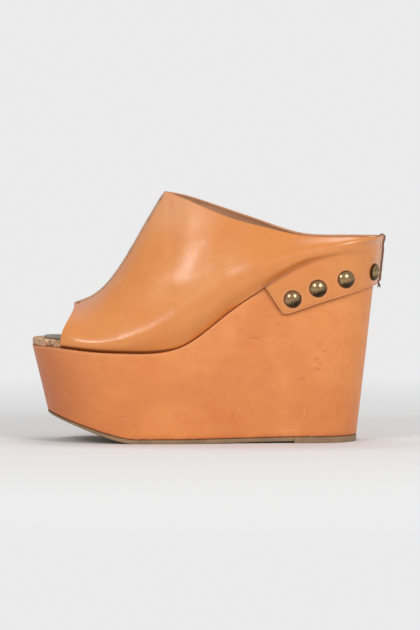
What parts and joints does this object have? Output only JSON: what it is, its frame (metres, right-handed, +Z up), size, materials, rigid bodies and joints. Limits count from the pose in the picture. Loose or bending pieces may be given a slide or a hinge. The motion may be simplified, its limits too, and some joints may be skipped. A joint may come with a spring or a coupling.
{
  "type": "platform wedge mule",
  "caption": "Open-toe leather mule on a high leather-covered platform wedge, with a studded flap round the heel.",
  "frame": {"origin": "on the floor, under the middle of the shoe's bounding box", "axes": "+X from the toe to the heel, +Y towards the inner side of the foot, +Z up"},
  "size_m": [0.2344, 0.0916, 0.1656],
  "materials": {
    "outsole_rubber": "matt brown rubber with a fine grain",
    "wedge_leather": "smooth vegetable-tanned leather, satin, rubbed and marked",
    "cork": "pressed cork, matt",
    "sock_leather": "grey-brown lining leather, matt",
    "upper_leather": "smooth vegetable-tanned leather, satin",
    "aged_brass": "aged and patinated, hand-hammered"
  },
  "bodies": {
    "root": {"outsole": "outsole_rubber", "heel_top_piece": "outsole_rubber", "platform_wedge": "wedge_leather", "footbed": "cork", "insole_sock": "sock_leather", "upper": "upper_leather", "stud_lateral_1": "aged_brass", "stud_lateral_2": "aged_brass", "stud_lateral_3": "aged_brass", "stud_lateral_4": "aged_brass", "stud_medial_1": "aged_brass", "stud_medial_2": "aged_brass", "stud_medial_3": "aged_brass", "stud_medial_4": "aged_brass"}
  },
  "joints": []
}
